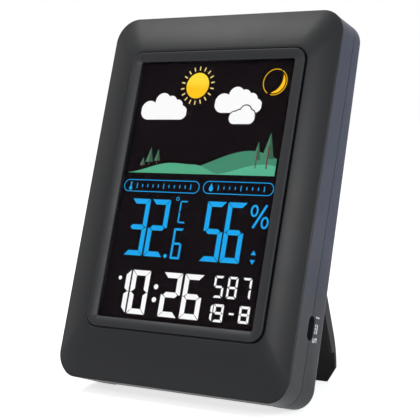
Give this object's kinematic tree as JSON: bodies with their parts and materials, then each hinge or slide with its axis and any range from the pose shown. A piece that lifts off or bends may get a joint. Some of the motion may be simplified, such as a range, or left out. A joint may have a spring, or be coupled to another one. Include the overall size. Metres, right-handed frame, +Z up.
{
  "type": "home weather station",
  "caption": "Colour display weather station in a wedge-shaped black case that leans back on a fold-out leg, with rear buttons, battery bay and side power socket.",
  "frame": {"origin": "middle of the footprint, on the surface that the station stands on", "axes": "+X to the right seen from the front, +Y backwards, +Z up; the face leans back by 19.1 degrees"},
  "size_m": [0.1322, 0.0834, 0.1836],
  "materials": {
    "frame_plastic": "fine matt texture",
    "band_plastic": "smooth satin",
    "cover_plastic": "fine matt texture",
    "bezel_plastic": "satin",
    "clear_window": "clear polished",
    "display_glass": "polished",
    "light_guide": "clear",
    "white_film": "matt",
    "holder_plastic": "matt",
    "ribbon_film": "smooth",
    "circuit_board": "lacquered",
    "chip_black": "matt",
    "screw_steel": "zinc plated",
    "connector_steel": "tin plated",
    "cell_jacket": "printed foil",
    "spring_steel": "nickel plated",
    "button_plastic": "satin",
    "stand_plastic": "fine matt texture"
  },
  "bodies": {
    "case": {"front_frame": "frame_plastic", "mid_housing": "band_plastic", "rear_cover": "cover_plastic", "display_bezel": "bezel_plastic", "display_window": "clear_window", "lcd_panel": "display_glass", "light_guide": "light_guide", "reflector_film": "white_film", "backlight_strip": "white_film", "lcd_holder": "holder_plastic", "display_ribbon": "ribbon_film", "main_board": "circuit_board", "board_chips": "chip_black", "tact_switches": "chip_black", "board_screws": "screw_steel", "usb_board": "circuit_board", "usb_shell": "connector_steel", "usb_tongue": "chip_black", "climate_sensor": "circuit_board", "buzzer": "chip_black", "battery_cell_a": "cell_jacket", "battery_cell_b": "cell_jacket", "battery_cell_c": "cell_jacket", "battery_springs": "spring_steel", "battery_plates": "spring_steel", "hinge_pins": "screw_steel", "case_screws": "screw_steel"},
    "stand": {"stand_leg": "stand_plastic"},
    "door": {"battery_door": "cover_plastic"},
    "set_key": {"set_button": "button_plastic"},
    "up_key": {"up_button": "button_plastic"},
    "down_key": {"down_button": "button_plastic"},
    "alarm_key": {"alarm_button": "button_plastic"},
    "light_key": {"light_button": "button_plastic"}
  },
  "joints": [
    {"name": "stand_hinge", "type": "hinge", "parent": "case", "child": "stand", "pos_m": [0, 0.01231, 0.09937], "axis": [1, 0, 0], "range_deg": [-34.7, 0]},
    {"name": "battery_door_lift", "type": "slide", "parent": "case", "child": "door", "axis": [0, 0.9554, -0.2952], "range_m": [0, 0.015]},
    {"name": "set_press", "type": "slide", "parent": "case", "child": "set_key", "axis": [0, -0.9554, 0.2952], "range_m": [0, 0.0005], "stiffness_N_per_m": 600, "springref_m": -0.0015},
    {"name": "up_press", "type": "slide", "parent": "case", "child": "up_key", "axis": [0, -0.9554, 0.2952], "range_m": [0, 0.0005], "stiffness_N_per_m": 600, "springref_m": -0.0015},
    {"name": "down_press", "type": "slide", "parent": "case", "child": "down_key", "axis": [0, -0.9554, 0.2952], "range_m": [0, 0.0005], "stiffness_N_per_m": 600, "springref_m": -0.0015},
    {"name": "alarm_press", "type": "slide", "parent": "case", "child": "alarm_key", "axis": [0, -0.9554, 0.2952], "range_m": [0, 0.0005], "stiffness_N_per_m": 600, "springref_m": -0.0015},
    {"name": "light_press", "type": "slide", "parent": "case", "child": "light_key", "axis": [0, -0.9554, 0.2952], "range_m": [0, 0.0005], "stiffness_N_per_m": 600, "springref_m": -0.0015}
  ]
}
